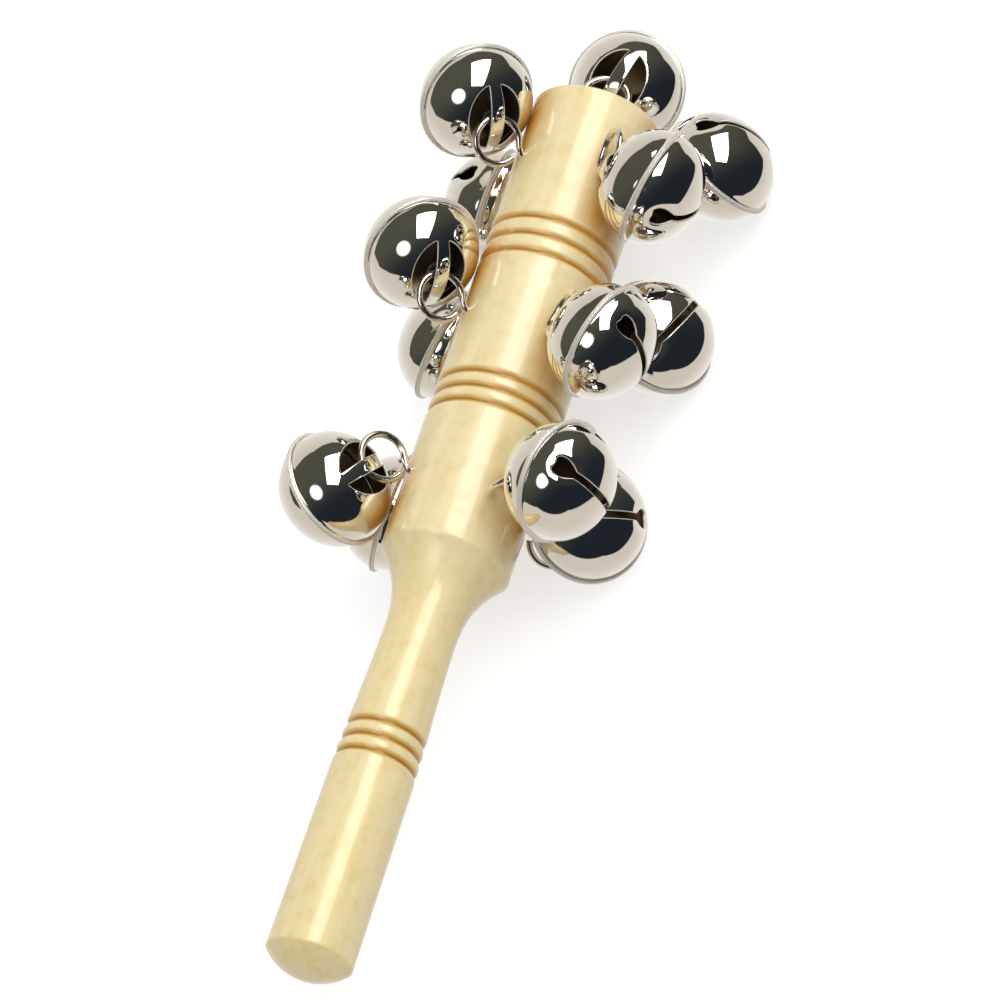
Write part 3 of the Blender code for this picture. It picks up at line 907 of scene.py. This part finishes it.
def plated_material(name, colour, smudged, roughness):
    """Bright plating, a little cloudy. Cut edges and the flange are dull, with a pale tone that is
    partly a painted highlight, and a bell's inside is bare steel.
    """
    material, n, shader, spot = new_material(name)
    clouds = n.noise(spot, CLOUD_SCALE, 4.0)
    tone = n.ramp(clouds, list(zip(CLOUD_RANGE, (srgb(*colour), srgb(*smudged)))))
    inner = n.attribute("inside")
    edge = n.attribute("dull_edge_and_highlight")
    # Painted highlight, partly: the pale tone of dull edges and the flange
    tone = n.mix(edge, tone, srgb(*DULL_EDGE_AND_HIGHLIGHT))
    n.feed(shader, "Base Color", n.mix(inner, tone, srgb(*BARE_STEEL)))
    n.feed(shader, "Metallic", n.sum("MULTIPLY_ADD", edge, -EDGE_METAL_LOSS, 1.0))
    polish = n.sum("MULTIPLY_ADD", clouds, roughness, roughness)
    polish = n.sum("MULTIPLY_ADD", edge, EDGE_ROUGHENING, polish)
    n.feed(shader, "Roughness", n.sum("MULTIPLY_ADD", inner, INSIDE_ROUGHENING, polish))
    pits = n.noise(spot, PIT_SCALE, 2.0)
    n.feed(shader, "Normal", n.bump(PIT_BUMP, PIT_BUMP_DEPTH, pits))
    return material


# Studio

def camera_axes():
    """Right, up and back directions of the camera in the part's frame."""
    azimuth = math.radians(CAMERA_AZIMUTH)
    elevation = math.radians(CAMERA_ELEVATION)
    back = Vector((math.sin(azimuth) * math.cos(elevation),
                   -math.cos(azimuth) * math.cos(elevation),
                   math.sin(elevation)))
    level = Vector((math.cos(azimuth), math.sin(azimuth), 0.0))
    right = Matrix.Rotation(math.radians(CAMERA_ROLL), 3, back) @ level
    return right, back.cross(right), back


def polar(angle, turn):
    """Direction at an angle off the line to the camera, turned about it, both in degrees."""
    right, up, back = camera_axes()
    angle = math.radians(angle)
    turn = math.radians(turn)
    return math.cos(angle) * back + math.sin(angle) * (math.cos(turn) * right + math.sin(turn) * up)


def make_camera():
    data = bpy.data.cameras.new("camera")
    data.lens = LENS
    data.sensor_width = SENSOR
    data.clip_start, data.clip_end = CLIPS
    camera = new_object("camera", data)
    right, up, back = camera_axes()
    turn = Matrix((right, up, back)).transposed().to_4x4()
    spot = CAMERA_TARGET + back * CAMERA_DISTANCE
    camera.matrix_world = Matrix.Translation(spot * MM) @ turn
    bpy.context.scene.camera = camera


def soft_box(name, direction, size, power):
    """A rectangular lamp that faces the object from a direction. It isn't mirrored: the plating
    mirrors the world's studio instead."""
    data = bpy.data.lights.new(name, "AREA")
    data.shape = "RECTANGLE"
    data.size, data.size_y = size
    data.energy = power
    lamp = new_object(name, data)
    lamp.visible_glossy = False
    back = direction.normalized()
    side = camera_axes()[1].cross(back).normalized()
    turn = Matrix((side, back.cross(side), back)).transposed().to_4x4()
    lamp.matrix_world = Matrix.Translation(CAMERA_TARGET * MM + back * LAMP_DISTANCE) @ turn


def make_floor():
    """Pale table: it takes the soft shadow, and reads as white where nothing shades it."""
    mesh = bpy.data.meshes.new("table")
    half = TABLE_HALF_WIDTH
    corners = [(-half, -half, 0), (half, -half, 0), (half, half, 0), (-half, half, 0)]
    mesh.from_pydata(corners, [], [(0, 1, 2, 3)])
    floor = new_object("table", mesh)
    floor.visible_glossy = False
    material = bpy.data.materials.new("table_white")
    material.use_nodes = True
    n = Nodes(material.node_tree)
    n.tree.nodes.clear()
    out = n.add("ShaderNodeOutputMaterial")
    grey = (TABLE_GREY, TABLE_GREY, TABLE_GREY, 1)
    cloth = n.add("ShaderNodeBsdfDiffuse", Color=grey).outputs[0]
    seen = n.add("ShaderNodeLightPath").outputs["Is Camera Ray"]
    strength = n.sum("MULTIPLY", seen, TABLE_GLOW)
    glow = n.add("ShaderNodeEmission", Strength=strength).outputs[0]
    n.feed(out, "Surface", n.add("ShaderNodeAddShader", i0=cloth, i1=glow).outputs[0])
    mesh.materials.append(material)


def mirrored_studio(n, direction):
    """Colour of the mirrored studio in a direction: a dark room on the camera's side in pale
    surroundings, with a tall key box over the camera and a small patch of light on its left."""
    right, up, back = camera_axes()
    angle = n.sum("ARCCOSINE", n.dot(direction, back))
    turn = n.sum("ARCTAN2", n.dot(direction, up), n.dot(direction, right))
    turn = n.sum("MULTIPLY_ADD", turn, 0.5 / math.pi, 0.5)
    stops = []
    for turn_stop, angle_stop in ROOM_EDGE:
        grey = angle_stop / 180
        stops.append((turn_stop / 360 + 0.5, (grey, grey, grey, 1)))
    edge = n.sum("MULTIPLY", n.ramp(turn, stops), math.pi)
    soft = math.radians(ROOM_SOFTNESS)
    room = n.step(n.sum("SUBTRACT", edge, angle), -soft, soft)
    lean = n.dot(direction, ROOM_UP_SHARE * up - ROOM_LEFT_SHARE * right)
    dark = n.mix(n.step(lean, *ROOM_SHADES), srgb(*ROOM_LOW), srgb(*ROOM_HIGH))
    pale = n.mix(n.step(angle, *SURROUND_SHADES), srgb(*SURROUND_NEAR), srgb(*SURROUND_FAR))
    mirror = n.mix(room, pale, dark)
    corners = [polar(*corner) for corner in KEY_CORNERS]
    within = None
    for first, second in zip(corners, corners[1:] + corners[:1]):
        wall = first.cross(second).normalized()
        if wall.dot(corners[0] + corners[2]) < 0:
            wall = -wall
        side = n.dot(direction, wall)
        within = side if within is None else n.sum("MINIMUM", within, side)
    mirror = n.mix(n.step(within, 0.0, KEY_SOFTNESS), mirror, (KEY_GLOW, KEY_GLOW, KEY_GLOW, 1))
    off_patch = n.sum("ARCCOSINE", n.dot(direction, polar(*PATCH_MIDDLE)))
    reach = math.radians(PATCH_RADIUS)
    patch = n.step(off_patch, reach + PATCH_SOFTNESS, reach - PATCH_SOFTNESS)
    return n.mix(patch, mirror, (PATCH_GLOW, PATCH_GLOW, PATCH_GLOW, 1))


def make_world():
    """White behind the object, even light for its dull surfaces, and the studio for mirrors."""
    world = bpy.data.worlds.new("studio")
    bpy.context.scene.world = world
    world.use_nodes = True
    n = Nodes(world.node_tree)
    n.tree.nodes.clear()
    out = n.add("ShaderNodeOutputWorld")
    mirror = mirrored_studio(n, n.add("ShaderNodeTexCoord").outputs["Generated"])
    path = n.add("ShaderNodeLightPath")
    lit = n.mix(path.outputs["Is Glossy Ray"], ROOM_LIGHT, mirror)
    colour = n.mix(path.outputs["Is Camera Ray"], lit, WHITE)
    n.feed(out, "Surface", n.add("ShaderNodeBackground", Color=colour).outputs[0])


def main():
    wood = wood_material()
    sheet = plated_material("plated_sheet", SHEET_BRIGHT, SHEET_SMUDGED, SHEET_ROUGHNESS)
    wire = plated_material("plated_wire", WIRE_BRIGHT, WIRE_SMUDGED, WIRE_ROUGHNESS)
    steel = plated_material("pellet_steel", PELLET_BRIGHT, PELLET_SMUDGED, PELLET_ROUGHNESS)
    stick = make_stick(wood)
    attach(stick, "stick")
    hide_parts("stick")
    eye = make_eye(wire)
    strap_cup = make_cup("strap_cup_mesh", strap_dome, [crescent(1), crescent(-1)], sheet)
    slotted_cup = make_cup("slotted_cup_mesh", slotted_dome, [slot_outline()], sheet)
    pellet = make_pellet(steel)
    for name, row in BELLS.items():
        spots = lay_out(*row)
        bell = f"bell_{name}"
        place(eye, f"eye_{name}_wire", spots["eye"], "stick", f"screw_eye_{name}")
        place(strap_cup, f"{bell}_strap_cup", spots["strap_cup"],
              bell, f"{bell}_strap_shell")
        place(slotted_cup, f"{bell}_slotted_cup", spots["slotted_cup"],
              bell, f"{bell}_slotted_shell")
        place(pellet, f"{bell}_ball", spots["pellet"],
              f"pellet_{name}", f"{bell}_pellet")
    for template in (eye, strap_cup, slotted_cup, pellet):
        bpy.data.objects.remove(template)
    make_camera()
    for name, (direction, size, power) in LAMPS.items():
        soft_box(name, polar(*direction), size, power)
    make_floor()
    make_world()
    bpy.context.scene.view_settings.view_transform = "Standard"


main()
